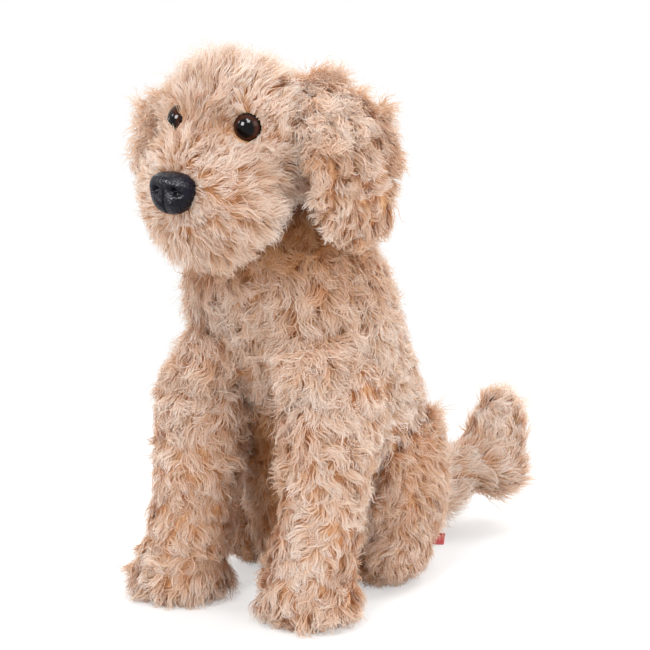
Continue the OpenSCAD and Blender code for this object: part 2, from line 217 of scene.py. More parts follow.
def setFloor():
    half = studio["floor"] / 2
    corners = [(-half, -half, 0), (half, -half, 0), (half, half, 0), (-half, half, 0)]
    mesh = bpy.data.meshes.new("floor")
    mesh.from_pydata(corners, [], [(0, 1, 2, 3)])
    floor = bpy.data.objects.new("floor", mesh)
    scene.collection.objects.link(floor)
    mat, tree, shader = material("floor")
    setSockets(shader, {"Base Color": studio["floorTint"], "Roughness": 0.9, "Specular IOR Level": 0.1})
    white = newNode(tree, "Emission")  # shown to the camera away from the object, so no horizon shows
    away = newNode(tree, "VectorMath", operation="LENGTH")
    fade = newNode(tree, "MapRange", interpolation_type="SMOOTHSTEP")
    near, far = studio["fade"]
    setSockets(fade, {"From Min": near, "From Max": far, "To Min": studio["floorWhite"]})
    path = newNode(tree, "LightPath")
    seen = larger(tree, path.outputs["Is Camera Ray"], path.outputs["Is Glossy Ray"])
    share = newNode(tree, "Math", operation="MULTIPLY")
    mix = newNode(tree, "MixShader")
    link(tree, newNode(tree, "TexCoord").outputs["Object"], away.inputs[0])
    link(tree, away.outputs["Value"], fade.inputs["Value"])
    link(tree, fade.outputs["Result"], share.inputs[0])
    link(tree, seen, share.inputs[1])
    link(tree, share.outputs[0], mix.inputs["Fac"])
    link(tree, shader.outputs[0], mix.inputs[1])
    link(tree, white.outputs[0], mix.inputs[2])
    link(tree, mix.outputs[0], tree.nodes["Material Output"].inputs["Surface"])
    mesh.materials.append(mat)


setCamera()
setStudio()
setFloor()
print("camera, floor and light set")


# Finishes

# The darker, warmer roots are partly the fibre's own colour and partly painted shade deep in the pile.
pileTones = {  # colours from the root of a strand to its tip, for the deepest and the palest strands
    "deep": [(0.0, linear(146, 80, 36)), (0.16, linear(170, 110, 60)), (0.42, linear(184, 127, 76)),
             (0.74, linear(200, 149, 98)), (1.0, linear(214, 171, 124))],
    "pale": [(0.0, linear(208, 160, 112)), (0.16, linear(224, 190, 150)), (0.42, linear(238, 220, 197)),
             (0.74, linear(245, 240, 233)), (1.0, linear(248, 248, 248))],
    # light through a strand, and its share
    "thin": [(0.0, linear(228, 144, 76)), (0.4, linear(241, 178, 116)), (1.0, linear(250, 236, 222))],
    "through": 0.34,
}


def pileFinish():  # the strand map holds tone across and root-to-tip along
    mat, tree, shader = material("curly_pile")
    uv = newNode(tree, "UVMap", uv_map="OFBake")
    split = newNode(tree, "SeparateXYZ")
    link(tree, uv.outputs["UV"], split.inputs[0])
    # darker towards the root: partly the fibre's own colour, partly painted shade between the locks
    deep = ramp(tree, split.outputs["Y"], pileTones["deep"], False)
    pale = ramp(tree, split.outputs["Y"], pileTones["pale"], False)
    mix = newNode(tree, "Mix", data_type="RGBA")
    link(tree, split.outputs["X"], mix.inputs["Factor"])
    link(tree, deep, mix.inputs["A"])
    link(tree, pale, mix.inputs["B"])
    link(tree, mix.outputs["Result"], shader.inputs["Base Color"])
    setSockets(shader, {"Roughness": 0.6, "Specular IOR Level": 0.25, "Sheen Weight": 0.25,
                        "Sheen Roughness": 0.45, "Sheen Tint": linear(255, 235, 220)})
    thin = newNode(tree, "BsdfTranslucent")  # fibres let some light through
    link(tree, ramp(tree, split.outputs["Y"], pileTones["thin"], False), thin.inputs["Color"])
    both = newNode(tree, "MixShader")
    both.inputs["Fac"].default_value = pileTones["through"]
    link(tree, shader.outputs[0], both.inputs[1])
    link(tree, thin.outputs[0], both.inputs[2])
    link(tree, both.outputs[0], tree.nodes["Material Output"].inputs["Surface"])
    return mat


backingLook = {"low": linear(190, 134, 92), "high": linear(214, 168, 126),
               "patch": 9 * mm, "knit": 1.2 * mm, "depth": 0.8 * mm}


def backingFinish(look):  # knitted backing under the pile: mottled, with a fine bump
    mat, tree, shader = material("pile_backing")
    shades = ramp(tree, noise(tree, look["patch"], 4), [(0.3, look["low"]), (0.7, look["high"])])
    link(tree, shades, shader.inputs["Base Color"])
    setSockets(shader, {"Roughness": 0.95, "Specular IOR Level": 0.1})
    bump(tree, shader, noise(tree, look["knit"], 2), look["depth"])
    return mat


pile = pileFinish()
backing = backingFinish(backingLook)


# Grids and turned pieces

def gridShape(rows, start, end):
    # A grid of rows that close round on themselves, with a pole at each end: quads between rows, and
    # triangles at the poles
    count, around = rows.shape[:2]
    i, j = np.meshgrid(np.arange(count - 1) * around, np.arange(around), indexing="ij")
    k = (j + 1) % around
    quads = np.stack([i + j, i + k, i + around + k, i + around + j], axis=-1).reshape(-1, 4)
    j = np.arange(around)
    k = (j + 1) % around
    lastRow, pole = (count - 1) * around, count * around
    first = np.stack([np.full(around, pole), k, j], axis=-1)
    last = np.stack([np.full(around, pole + 1), lastRow + j, lastRow + k], axis=-1)
    points = np.concatenate([rows.reshape(-1, 3), [start], [end]])
    return points, quads.tolist() + first.tolist() + last.tolist()


def fan(faces):  # triangles and quads as triangles only
    return np.array([f[:3] for f in faces] + [(f[0], f[2], f[3]) for f in faces if len(f) == 4])


def outward(points, faces):
    # Faces of a closed shape, turned round where the volume they enclose comes out negative
    a, b, c = points[fan(faces)].transpose(1, 0, 2)
    return faces if (a * np.cross(b, c)).sum() > 0 else [f[::-1] for f in faces]


def polarGrid(rows, around):  # angles from pole to pole, without the poles, and angles round
    down = np.linspace(0, np.pi, rows + 1)[1:-1]
    return np.meshgrid(down, np.linspace(0, 2 * np.pi, around, endpoint=False), indexing="ij")


def ballRows(size):  # ball with half sizes a, b, c round a middle: (a cos t sin p, b sin t sin p, c cos p)
    middle, half = np.array(size[:3]) * mm, np.array(size[3:]) * mm

    def shape(p, t):
        way = np.stack([np.cos(t) * np.sin(p), np.sin(t) * np.sin(p), np.cos(p)], axis=-1)
        return middle + half * way

    return shape(*polarGrid(9, 16)), shape(0.0, 0.0), shape(np.pi, 0.0)


def turnedRows(profile, spot, axis, around):
    # Surface of revolution: a profile of (radius, height) carried round an axis through spot
    profile = np.array(profile) * mm
    side = unit(np.cross(axis, [0, 0, 1]) if abs(axis[2]) < 0.9 else np.array([1.0, 0, 0]))
    up = np.cross(axis, side)
    t = np.linspace(0, 2 * np.pi, around, endpoint=False)
    ring = np.cos(t)[:, None] * side + np.sin(t)[:, None] * up
    rows = spot + profile[1:-1, 0, None, None] * ring + profile[1:-1, 1, None, None] * axis
    return rows, spot + profile[0, 1] * axis, spot + profile[-1, 1] * axis


def pieceFrom(name, points, faces, mat, uv=None):
    mesh = bpy.data.meshes.new(name)
    mesh.from_pydata(points.tolist(), [], faces)
    mesh.polygons.foreach_set("use_smooth", np.ones(len(faces), bool))
    if uv is not None:
        corner = read(mesh.loops, "vertex_index", 1, np.int32)[:, 0]
        mesh.uv_layers.new(name="pieceMap").data.foreach_set("uv", uv[corner].astype(np.float32).ravel())
    mesh.materials.append(mat)
    return addObject(name, mesh)


def addObject(name, mesh):
    obj = bpy.data.objects.new(name, mesh)
    scene.collection.objects.link(obj)
    return obj


# Skins: stuffed covers, made from copies of the CAD covers and fillings

skinPlan = {  # plugs are balls of more filling: the middle and half sizes of each, in millimetres
    "torso_skin": {"body": "torso", "stands": ["torso_cover", "torso_stuffing"],
                   "inside": ["pellet_bag", "neck_stuffing", "seat_panel"],
                   "plugs": [(28, -58, 116, 17, 22, 18), (-25, -58, 116, 15, 22, 18)]},
    "head_skin": {"body": "head",
                  "stands": ["head_cover", "head_stuffing", "muzzle_cover", "muzzle_stuffing"],
                  "inside": ["eye_washer_left", "eye_washer_right", "nose_washer"], "drawnIn": 0.5,
                  "plugs": [(0, -108, 200, 9.5, 9, 8), (0, -89, 227, 11, 12, 13),
                            (-29, -80, 226, 9, 12, 17), (29, -80, 226, 9, 12, 17)]},
}
pairPlan = {  # pieces on both sides: the CAD nodes, with * for the side, and the plugs on the left
    "ear": (["ear_*_outer", "ear_*_lining"], [(26, -58, 244, 5, 14, 4.5)]),
    "front_leg": (["front_leg_*_cover", "front_leg_*_stuffing"], [(36, -78, 10, 24, 23, 12)]),
    "hind_leg": (["thigh_*_cover", "thigh_*_stuffing", "hind_foot_*_cover", "hind_foot_*_stuffing"], []),
}
for kind, (stands, plugs) in pairPlan.items():
    for side, sign in (("left", 1), ("right", -1)):
        nodes = [n.replace("*", side) for n in stands]
        balls = [(sign * x, *rest) for x, *rest in plugs]
        skinPlan[f"{kind}_{side}_skin"] = {"body": f"{kind}_{side}", "stands": nodes, "plugs": balls}
skinPlan["tail_skin"] = {"body": "tail", "stands": ["tail_cover", "tail_stuffing"],
                         "plugs": [(11, 77, 24.5, 15, 24, 13), (30, 105, 33, 17, 15, 16)]}
onTheHead = ("head", "ear_left", "ear_right")  # bodies whose plugs turn with the head
sewing = {"voxel": 4.2 * mm, "drawnIn": 1.4, "pressure": 4.0, "frames": 20, "swell": 1.2 * mm,
          "fill": 0.75, "lowest": 0.2 * mm}


def shapeOf(obj):  # the mesh of an object with its modifiers
    return bpy.data.meshes.new_from_object(obj.evaluated_get(bpy.context.evaluated_depsgraph_get()))


def normalsOf(mesh):
    return read(mesh.vertex_normals, "vector", 3)


def sewSkin(name, plan):
    # Copies of the CAD meshes, joined and remeshed into one closed skin, which is drawn in along its normals
    points, corners, count = [], [], 0
    for node in plan["stands"] + plan.get("inside", []):
        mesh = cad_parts[node].data
        mesh.calc_loop_triangles()
        points.append(read(mesh.vertices, "co", 3))
        corners.append(read(mesh.loop_triangles, "vertices", 3, np.int32) + count)
        count += len(points[-1])
    for plug in plan["plugs"]:
        ball, faces = gridShape(*ballRows(plug))
        points.append(onHead(ball) if plan["body"] in onTheHead else ball)
        corners.append(fan(faces) + count)
        count += len(ball)
    joined = bpy.data.meshes.new(name + "_copy")
    joined.from_pydata(np.concatenate(points).tolist(), [], np.concatenate(corners).tolist())
    obj = addObject(name, joined)
    cut = obj.modifiers.new("remesh", "REMESH")
    cut.mode, cut.voxel_size = "VOXEL", sewing["voxel"]
    even = obj.modifiers.new("even", "SMOOTH")
    even.factor, even.iterations = 0.5, 3
    mesh = shapeOf(obj)
    obj.modifiers.clear()
    obj.data = mesh
    mesh.name = name
    co = read(mesh.vertices, "co", 3)
    co -= plan.get("drawnIn", sewing["drawnIn"]) * mm * normalsOf(mesh)
    co[:, 2] = np.maximum(co[:, 2], sewing["lowest"])
    mesh.vertices.foreach_set("co", co.ravel())
    mesh.update()
    return obj


def swell(skins):  # pressure inside every skin at once, with each point's travel capped
    start = {o.name: read(o.data.vertices, "co", 3) for o in skins}
    for o in skins:
        cloth = o.modifiers.new("swell", "CLOTH").settings
        cloth.quality, cloth.mass = 4, 0.05
        cloth.use_pressure, cloth.uniform_pressure_force = True, sewing["pressure"]
        cloth.effector_weights.gravity = 0
    for f in range(1, sewing["frames"] + 1):
        scene.frame_set(f)
    for o in skins:
        moved = read(shapeOf(o).vertices, "co", 3) - start[o.name]
        far = np.linalg.norm(moved, axis=1, keepdims=True)
        mean, most = (round(float(d) / mm, 2) for d in (far.mean(), far.max()))
        print("  swell", o.name, "mean", mean, "mm, most", most)
        co = start[o.name] + moved * np.minimum(1, sewing["swell"] / np.maximum(far, 1e-9))
        co[:, 2] = np.maximum(co[:, 2], sewing["lowest"])
        o.modifiers.clear()
        o.data.vertices.foreach_set("co", co.ravel())
        o.data.update()
    scene.frame_set(1)


skins = {name: sewSkin(name, plan) for name, plan in skinPlan.items()}
print("skins sewn:", {n: len(o.data.vertices) for n, o in skins.items()})
swell(list(skins.values()))
for name, obj in skins.items():
    obj.data.materials.clear()
    obj.data.materials.append(backing)
    obj.data.polygons.foreach_set("use_smooth", np.ones(len(obj.data.polygons), bool))
    smooth = obj.modifiers.new("round", "SUBSURF")
    smooth.levels = smooth.render_levels = 1
    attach(obj, skinPlan[name]["body"])
    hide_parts(*skinPlan[name]["stands"])
print("skins swollen and on their bodies")


# Pile: strands in locks on every skin

skinPoints = {n: read(o.data.vertices, "co", 3).astype(float) for n, o in skins.items()}
skinNormals = {n: normalsOf(o.data).astype(float) for n, o in skins.items()}


def nearest(points, others, block=800):
    # Distance to the nearest of the other points, and which it is, for a block of rows at a time
    far, which = np.empty(len(points)), np.empty(len(points), int)
    square = (others ** 2).sum(axis=1)
    for i in range(0, len(points), block):
        some = points[i:i + block]
        d = (some ** 2).sum(axis=1)[:, None] + square - 2 * some @ others.T
        which[i:i + block] = d.argmin(axis=1)
        far[i:i + block] = np.sqrt(np.maximum(d.min(axis=1), 0))
    return far, which


eyeSpots = []  # middle of the rim and outward axis of each eye, from the CAD nodes
eyeSize = {"radius": 6.5 * mm, "bulge": 4.03 * mm, "splay": np.radians(22)}
for node, side in (("eye_left", 1), ("eye_right", -1)):
    axis = headWay([side * np.sin(eyeSize["splay"]), -np.cos(eyeSize["splay"]), 0])
    co = read(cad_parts[node].data.vertices, "co", 3).astype(float)
    tip = co[(co @ axis).argmax()]
    middle = co.min(axis=0) / 2 + co.max(axis=0) / 2
    spot = middle + axis * ((tip - middle) @ axis - eyeSize["bulge"])
    eyeSpots.append((spot, axis))
noseSpot = onHead(np.array([0, -114, 200]) * mm)
noseLook = {"middle": (0, -119.5, 200), "half": (11.3, 6.6, 9.4), "blunt": 2.5, "flare": 0.2,
            "rows": 72, "around": 120, "stem": 3.0, "stemFrom": -112, "stemTo": -102,
            "low": linear(7, 6, 15), "high": linear(17, 14, 29), "patch": 5,
            "pebble": 1.25, "pebbleDepth": 0.32,
            # pressed in or raised by: depth, place in x and z, half sizes
            "nostril": (3.2, 4.9, 1.8, 1.8, 1.5), "slit": (1.8, 7.6, 0.6, 1.8, 1.0),
            "ridge": (0.7, 0, 6.2, 7, 2.2), "lobe": (0.7, 3.4, -4.0, 2.8, 2.2), "groove": (0.9, 0.6)}
print("eyes at", [(s * 1000).round(1).tolist() for s, a in eyeSpots])


def combHead(p):  # away from a point above the nose, and down behind the ears and on the cheeks
    q = faceOn(p)
    v = unit(q - np.array([0, -112, 203]) * mm)
    v[:, 2] -= 1.3 * ease(q[:, 1], -70 * mm, -30 * mm)
    v[:, 2] -= 0.35 * ease(np.abs(q[:, 0]), 22 * mm, 36 * mm) * ease(q[:, 2], 235 * mm, 215 * mm)
    return headWay(v)


def combEar(p):  # out over the top, then down and spreading to the edges
    v = np.zeros_like(p)
    v[:, 0] = np.sign(p[:, 0].mean()) * 1.3 * byHeight(p, 222, 242)
    v[:, 1] = (p[:, 1] + 60 * mm) * 12
    v[:, 2] = -1
    return v


def combTorso(p):  # away from a point high above, so down and a little outward
    v = unit(p - np.array([0, -20, 400]) * mm)
    v[:, 2] -= 0.4
    return v


def combFrontLeg(p):  # down the leg, then outward over the paw
    side = np.sign(p[:, :1].mean())
    over = p - np.array([side * 35, -58, 45]) * mm
    low = byHeight(p, 45, 25)[:, None]
    return (1 - low) * np.array([0, -0.12, -1.0]) + low * unit(over)


def combHindLeg(p):  # back and down over the thigh, forward over the foot
    side = np.sign(p[:, :1].mean())
    thigh = unit(p - np.array([side * 36, -8, 98]) * mm)
    foot = unit(p - np.array([side * 40, 14, 34]) * mm)
    low = (byHeight(p, 34, 22) * ease(p[:, 1], 8 * mm, -6 * mm))[:, None]
    return (1 - low) * thigh + low * foot


tailPath = np.array([[0, 53, 34], [13, 81, 31], [29.5, 106, 37], [34, 112, 68]]) * mm


def combTail(p):  # along the tail to its tip
    t = np.linspace(0, 1, 40) * 3
    line = np.stack([np.interp(t, range(4), tailPath[:, i]) for i in range(3)], axis=1)
    which = nearest(p, line)[1]
    return np.gradient(line, axis=0)[which]


# Regions where the pile differs. Each is a product of bands along x (to either side), y or z, which rise from
# none at the first number of millimetres to all at the second.
bodyRegions = {
    "shoulder": [("x", 12, 26), ("y", -20, -45), ("z", 96, 108), ("z", 166, 150)],
    # chest, throat and belly only set where shade is painted on the torso
    "chest": [("y", -20, -50)],
    "throat": [("y", -20, -50), ("z", 148, 172)],
    "belly": [("y", -20, -50), ("x", 34, 20), ("z", 105, 75)],
    "earTop": [("z", 222, 238)],
    "earRoot": [("z", 230, 241)],
    "earBend": [("z", 218, 230)],
    "earUpper": [("z", 218, 232)],
    "earLower": [("z", 216, 202)],
    "legTop": [("z", 104, 120)],
    "legInside": [("x", 36, 26), ("z", 6, 30), ("z", 104, 80)],
    "ankle": [("z", 16, 27), ("z", 66, 48)],
    "paw": [("z", 30, 22), ("z", 3, 10)],
    "pawEdge": [("z", 12, 4)],
    "thighInside": [("x", 42, 32), ("y", 2, -10)],
    "hindFoot": [("z", 26, 12)],
    "tailBelow": [("z", 30, 20)],
}
faceRegions = {  # on a head that looks straight ahead
    "crown": [("z", 228, 244)],
    "brow": [("z", 236, 247), ("y", -66, -84)],
    "bridge": [("x", 13, 7), ("z", 213, 219), ("z", 240, 232)],
    "cheek": [("x", 16, 30), ("z", 226, 212), ("z", 178, 192)],
    "behindCheek": [("y", -84, -72), ("x", 24, 32), ("z", 238, 228)],
    "lips": [("z", 190, 180)],
    "chin": [("z", 186, 176)],
}


def nearNose(p):  # by distance from the nose
    return ease(np.linalg.norm(p - noseSpot, axis=1), 24 * mm, 12 * mm)


def nearEyes(p):  # by distance from the nearer eye
    far = np.minimum(*[np.linalg.norm(p - s, axis=1) for s, a in eyeSpots])
    return ease(far, 16 * mm, 8 * mm)


# where painted shade goes at the inner corner of each eye
def eyeCorner(p):  # a soft spot at the inner corner of each eye: exp(-(dx/6)^2 - (dz/7)^2), in front only
    x, y, z = faceOn(p).T / mm
    return np.exp(-((np.abs(x) - 11) / 6) ** 2 - ((z - 223) / 7) ** 2) * ease(y, -82, -90)


def regionShare(region, p):  # how far each point belongs to a region, from 0 to 1: the product of its bands
    if callable(region):
        return region(p)
    q = (faceOn(p) if region in faceRegions else p) / mm
    along = {"x": np.abs(q[:, 0]), "y": q[:, 1], "z": q[:, 2]}
    bands = faceRegions.get(region) or bodyRegions[region]
    return np.prod([ease(along[axis], none, full) for axis, none, full in bands], axis=0)


def amount(base, weights, p):  # base plus the sum of each region's weight times its share
    return base + sum(weight * regionShare(region, p) for region, weight in weights.items())


earPile = dict(comb=combEar, strands=2.0, length=14.0, lock=4.8, lift=(46, -2), wave=54, turns=12.5, swirl=44,
               curl=70, clump=0.62, width=0.55, rows=5,
               # paler at the ear tops: painted light where light falls from above
               thicker={"earTop": 0.8}, tone=-0.28, toneWithPaintedShadeAndLight={"earTop": 0.18})
# Sizes in millimetres and degrees; strands are for each square millimetre of skin. Weights by region make the
# pile longer, higher (lifted by more degrees) or thicker, and shift its tone: paler for painted light, darker
# for painted shade.
furPlan = {
    "torso": dict(skins=["torso_skin"], comb=combTorso, strands=1.42, length=13.5, lock=4.3, lift=(46, -4),
                  wave=46, turns=13.0, swirl=40, curl=40, clump=0.64, width=0.55, rows=5, seed=11,
                  longer={"shoulder": 0.4},
                  # darker on the chest, throat and belly: painted shade under the head and between the front
                  # legs
                  tone=0.1, toneWithPaintedShadeAndLight={"chest": -0.26, "throat": -0.55, "belly": -0.75}),
    "head": dict(skins=["head_skin"], comb=combHead, strands=1.9, length=10.0, lock=3.5, lift=(44, 4),
                 wave=30, turns=11.0, swirl=26, curl=30, clump=0.5, width=0.46, rows=4, seed=12,
                 longer={"brow": 0.7, "cheek": 0.45, "bridge": 0.45, "chin": 0.3, "behindCheek": 0.4,
                         nearNose: -0.3, nearEyes: -0.34},
                 higher={"brow": 18, "cheek": 12, "bridge": 16, "behindCheek": 16,
                         nearNose: 14, nearEyes: 12},
                 thicker={nearNose: 0.9, nearEyes: 0.8},
                 # paler on the crown: painted light from above; darker at the inner eye corners, behind the
                 # cheeks and at the lips: painted shade
                 tone=0, toneWithPaintedShadeAndLight={"crown": 0.1, eyeCorner: -0.6, "behindCheek": -0.5, "lips": -0.15}),
    "ear_left": dict(earPile, skins=["ear_left_skin"], seed=13,
                     longer={"earUpper": 0.25, "earLower": -0.25}, higher={"earRoot": -28}),
    "ear_right": dict(earPile, skins=["ear_right_skin"], seed=14,
                      longer={"earUpper": 0.65, "earLower": -0.5}, higher={"earBend": 10, "earRoot": -28}),
    "front_leg": dict(skins=["front_leg_left_skin", "front_leg_right_skin"], comb=combFrontLeg,
                      strands=1.38, length=12.5, lock=4.3, lift=(42, -6), wave=44, turns=12.5, swirl=38,
                      curl=36, clump=0.62, width=0.54, rows=5, sole=0.6, seed=15,
                      fullness=1.05, longer={"paw": 0.02, "pawEdge": -0.15, "legTop": -0.3, "ankle": -0.2},
                      higher={"paw": 4, "ankle": -6}, thicker={"ankle": 0.25},
                      # darker on the inner side of each front leg: painted shade between the legs
                      tone=-0.06, toneWithPaintedShadeAndLight={"legInside": -0.2}),
    "hind_leg": dict(skins=["hind_leg_left_skin", "hind_leg_right_skin"], comb=combHindLeg,
                     strands=2.0, length=11.5, lock=4.2, lift=(40, -4), wave=38, turns=12.0, swirl=34,
                     curl=32, clump=0.62, width=0.5, rows=4, sole=0.6, seed=17,
                     # darker inside the thighs: painted shade against the body
                     longer={"hindFoot": -0.35}, tone=-0.24, toneWithPaintedShadeAndLight={"thighInside": -0.4}),
    "tail": dict(skins=["tail_skin"], comb=combTail, strands=1.85, length=12.5, lock=4.6, lift=(40, -4),
                 wave=36, turns=12.0, swirl=28, curl=30, clump=0.64, width=0.54, rows=5, seed=19,
                 longer={"tailBelow": 0.55}, tone=0.05),
}
# how roots, locks and single strands differ, in millimetres, degrees and shares
atRoot = {"near": (5.5, 3.5), "facing": (0.4, 0.8), "fewer": 0.72, "shorter": 0.45,  # behind another skin
          "soleTilt": -0.75, "soleHeight": 6, "tilt": 0.06, "spread": 2.7, "depth": 0.8}
atLock = {"turnSize": 7, "turnOdd": 0.55, "longOdd": 0.16,
          "tone": 0.76, "toneSize": 9, "toneDrift": 0.12, "toneOdd": 0.08}
atStrand = {"free": 0.06, "freeTurn": 24, "freeClump": 0.15,  # a few strands stray from their lock
            "turn": 6, "phase": 0.25, "curl": 8, "lift": 9, "roll": 14, "tone": 0.1,
            "long": (0.72, 1.12), "limits": (0.3, 1.9), "wide": (0.75, 1.25), "lowest": (0.3, 0.5),
            "cutBack": 0.45, "tuft": 0.45, "tuftShare": 0.6}


def strandPaths(plan, name, seed):
    # A strand starts on the skin and runs in steps. Its heading in the skin's plane is the comb direction
    # turned by swirl + curl * s + wave * sin(s * length / turns), its pitch falls from lift to lay, and it is
    # drawn towards the middle of its lock by clump * s.
    rng = np.random.default_rng(seed)
    spots, normals = skinPoints[name], skinNormals[name]
    around = np.concatenate([skinPoints[n] for n in skins if n != name])
    apart, which = nearest(spots, around)
    facing = across(unit(around[which] - spots), normals)[:, 0]
    area = sum(p.area for p in skins[name].data.polygons) / mm ** 2
    each = plan["strands"] * area / len(spots)  # strands for each skin point
    far, close = atRoot["near"]
    hidden = ease(apart, far * mm, close * mm) * ease(facing, *atRoot["facing"])  # another skin is in front
    under = (normals[:, 2] < atRoot["soleTilt"]) & (spots[:, 2] < atRoot["soleHeight"] * mm)
    want = each * amount(1, plan.get("thicker", {}), spots) * (1 - atRoot["fewer"] * hidden)
    want = want * np.where(under, plan.get("sole", 0), 1)
    count = np.floor(want + rng.uniform(size=len(spots))).astype(int)
    owner = np.repeat(np.arange(len(spots)), count)
    n = len(owner)
    # root points, spread in the skin's plane
    normal = unit(normals[owner] + rng.normal(size=(n, 3)) * atRoot["tilt"])
    side = unit(np.cross(normal, rng.normal(size=(n, 3))))
    ahead = np.cross(side, normal)
    reach = atRoot["spread"] * mm * np.sqrt(rng.uniform(size=(n, 1)))
    angle = rng.uniform(0, 2 * np.pi, (n, 1))
    root = spots[owner] + reach * (np.cos(angle) * side + np.sin(angle) * ahead)
    root = root - atRoot["depth"] * mm * normal
    # locks: some of the roots are their middles, and each root belongs to the nearest
    cell = plan["lock"] * mm
    lockOf = rng.choice(n, int(area * mm ** 2 / cell ** 2), replace=False)
    places, locks = root[lockOf], len(lockOf)
    lock = nearest(root, places)[1]
    middle = places[lock]
    # comb direction in the skin's plane
    comb = plan["comb"](root)
    comb = unit(comb - across(comb, normal) * normal)
    cross = np.cross(normal, comb)
    lockTurn = np.radians(plan["swirl"]) * drift(places, atLock["turnSize"] * mm, seed + 50)
    lockTurn = lockTurn + np.radians(plan["swirl"] * atLock["turnOdd"]) * rng.normal(size=locks)
    lockWave = rng.uniform(0, 2 * np.pi, locks)
    lockCurl = np.radians(plan["curl"]) * rng.normal(size=locks)
    lockLong = 1 + atLock["longOdd"] * rng.normal(size=locks)
    lockTone = atLock["tone"] + atLock["toneDrift"] * drift(places, atLock["toneSize"] * mm, seed + 70)
    lockTone = lockTone + atLock["toneOdd"] * rng.normal(size=locks)
    free = rng.uniform(size=n) < atStrand["free"]
    jitter = np.where(free, atStrand["freeTurn"], atStrand["turn"])
    heading = lockTurn[lock] + np.radians(jitter) * rng.normal(size=n)
    phase = lockWave[lock] + atStrand["phase"] * rng.normal(size=n)
    curl = lockCurl[lock] + np.radians(atStrand["curl"]) * rng.normal(size=n)
    size = amount(plan.get("fullness", 1), plan["longer"], root) * lockLong[lock]
    size *= rng.uniform(*atStrand["long"], n)
    size *= 1 - atRoot["shorter"] * hidden[owner]
    length = plan["length"] * mm * np.clip(size, *atStrand["limits"])
    lift, lay = np.radians(plan["lift"])
    higher = amount(0, plan.get("higher", {}), root)
    lift = lift + np.radians(higher + atStrand["lift"] * rng.normal(size=n))
    rows = plan["rows"]
    pull = middle - root
    clump = np.where(free, atStrand["freeClump"], plan["clump"])[:, None]
    pull = (pull - across(pull, normal) * normal) * clump

    def run(length):
        s = ((np.arange(rows) + 0.5) / rows)[None, :]
        wave = np.radians(plan["wave"])
        turn = 2 * np.pi * s * length[:, None] / (plan["turns"] * mm) + phase[:, None]
        yaw = heading[:, None] + curl[:, None] * s + wave * np.sin(turn) * (0.35 + 0.65 * s)
        pitch = lift[:, None] + (lay - lift[:, None]) * s ** 0.8 + 0.35 * wave * np.cos(turn)
        flat = np.cos(yaw)[..., None] * comb[:, None] + np.sin(yaw)[..., None] * cross[:, None]
        step = np.cos(pitch)[..., None] * flat + np.sin(pitch)[..., None] * normal[:, None]
        way = np.concatenate([np.zeros((n, 1, 3)), np.cumsum(step, axis=1)], axis=1)
        full = np.linspace(0, 1, rows + 1)[None, :, None]
        return root[:, None] + way * (length / rows)[:, None, None] + pull[:, None] * full ** 1.2

    path = run(length)
    keep = np.ones(n, bool)
    if name == "head_skin":  # strands in front of an eye are cut back or left out
        path = run(np.where(touchesEye(path), atStrand["cutBack"] * length, length))
        keep = ~touchesEye(path) & ~touchesNose(path)
    low, more = atStrand["lowest"]
    path[..., 2] = np.maximum(path[..., 2], (low + more * rng.uniform(size=(n, 1))) * mm)
    # the part's own tone, shifted by region for painted shade and painted light
    toneWithPaintedShadeAndLight = amount(plan["tone"], plan.get("toneWithPaintedShadeAndLight", {}), root)
    tone = lockTone[lock] + atStrand["tone"] * rng.normal(size=n) + toneWithPaintedShadeAndLight
    wide = plan["width"] * mm * rng.uniform(*atStrand["wide"], n)
    roll = np.radians(atStrand["roll"]) * rng.normal(size=n)
    tuft = unit(normal + atStrand["tuft"] * (root - middle) / cell)  # a lock shades as one rounded tuft
    return [a[keep] for a in (path, normal, tuft, np.clip(tone, 0.02, 0.98), wide, roll)]


eyeRoom = {"radii": [(5.7, 6.2), (4.6, 5.1)],  # kept clear above and elsewhere, for the left and right eye
           "above": 3, "start": 1.5, "behind": 2, "ahead": 25, "lean": 1.4, "rise": 0.2, "lane": 0.58}


def touchesEye(path):
    # In front of an eye's dome, or in a narrower lane from it across the bridge
    hit = np.zeros(len(path), bool)
    for (spot, axis), (above, other), side in zip(eyeSpots, eyeRoom["radii"], (1, -1)):
        leaning = unit(axis + eyeRoom["lean"] * headWay([-side, 0, eyeRoom["rise"]]))
        d = path - spot - eyeRoom["start"] * mm * axis
        for look, share in ((axis, 1), (leaning, eyeRoom["lane"])):
            h = d @ look
            flat = d - h[..., None] * look
            r = np.linalg.norm(flat, axis=-1)
            room = np.where(flat[..., 2] > eyeRoom["above"] * mm, above, other) * mm * share
            ahead = (h > -eyeRoom["behind"] * mm * share) & (h < eyeRoom["ahead"] * mm)
            hit |= ((r < room) & ahead).any(axis=1)
    return hit


def touchesNose(path):  # in front of the nose: inside its outline, a little enlarged
    d = faceOn(path.reshape(-1, 3)).reshape(path.shape) / mm - np.array(noseLook["middle"])
    x, y, z = d[..., 0], d[..., 1], d[..., 2]
    high = noseLook["half"][2]
    wide = noseLook["half"][0] * (1 + noseLook["flare"] * z / high)
    return (((x / wide) ** 2 + (z / high) ** 2 < 1.1) & (y < 1.5)).any(axis=1)


